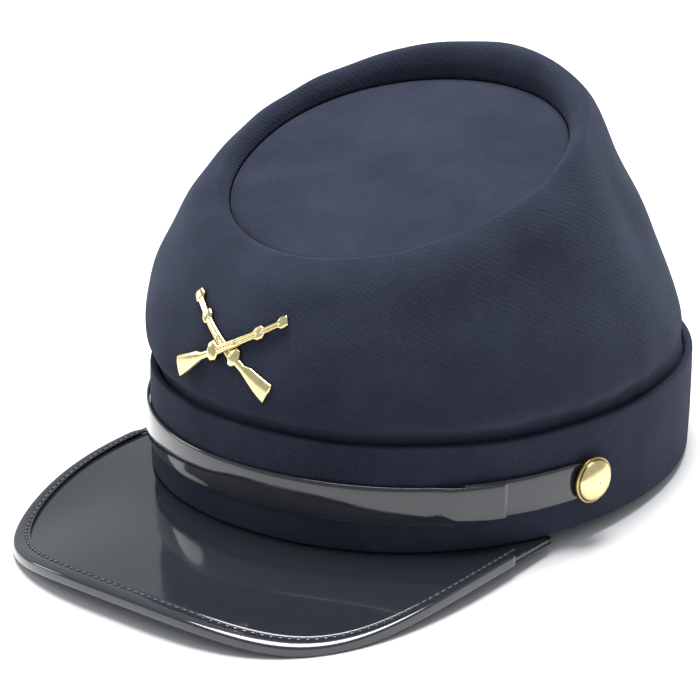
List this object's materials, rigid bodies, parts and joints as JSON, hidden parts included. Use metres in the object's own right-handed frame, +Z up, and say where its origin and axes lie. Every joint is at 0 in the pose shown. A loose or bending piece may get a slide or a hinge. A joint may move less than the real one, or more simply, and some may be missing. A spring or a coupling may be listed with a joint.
{
  "type": "kepi cap",
  "caption": "Soft wool kepi with a forward-leaning crown, a sunk oval top, a glossy peak, a chin strap with side buttons and a crossed-rifle badge.",
  "frame": {"origin": "middle of the bounding box, at the surface the cap stands on", "axes": "+Z up, the peak points along -Y, +X is the wearer's left"},
  "size_m": [0.1846, 0.26, 0.1348],
  "materials": {
    "navy_wool": "napped wool cloth",
    "patent_black": "high gloss patent",
    "brass": "polished"
  },
  "bodies": {
    "root": {"crown": "navy_wool", "crown_top": "navy_wool", "band": "navy_wool", "peak": "patent_black", "peak_binding": "patent_black", "chin_strap": "patent_black", "strap_tab": "patent_black", "button_left": "brass", "button_right": "brass", "badge": "brass"}
  },
  "joints": []
}
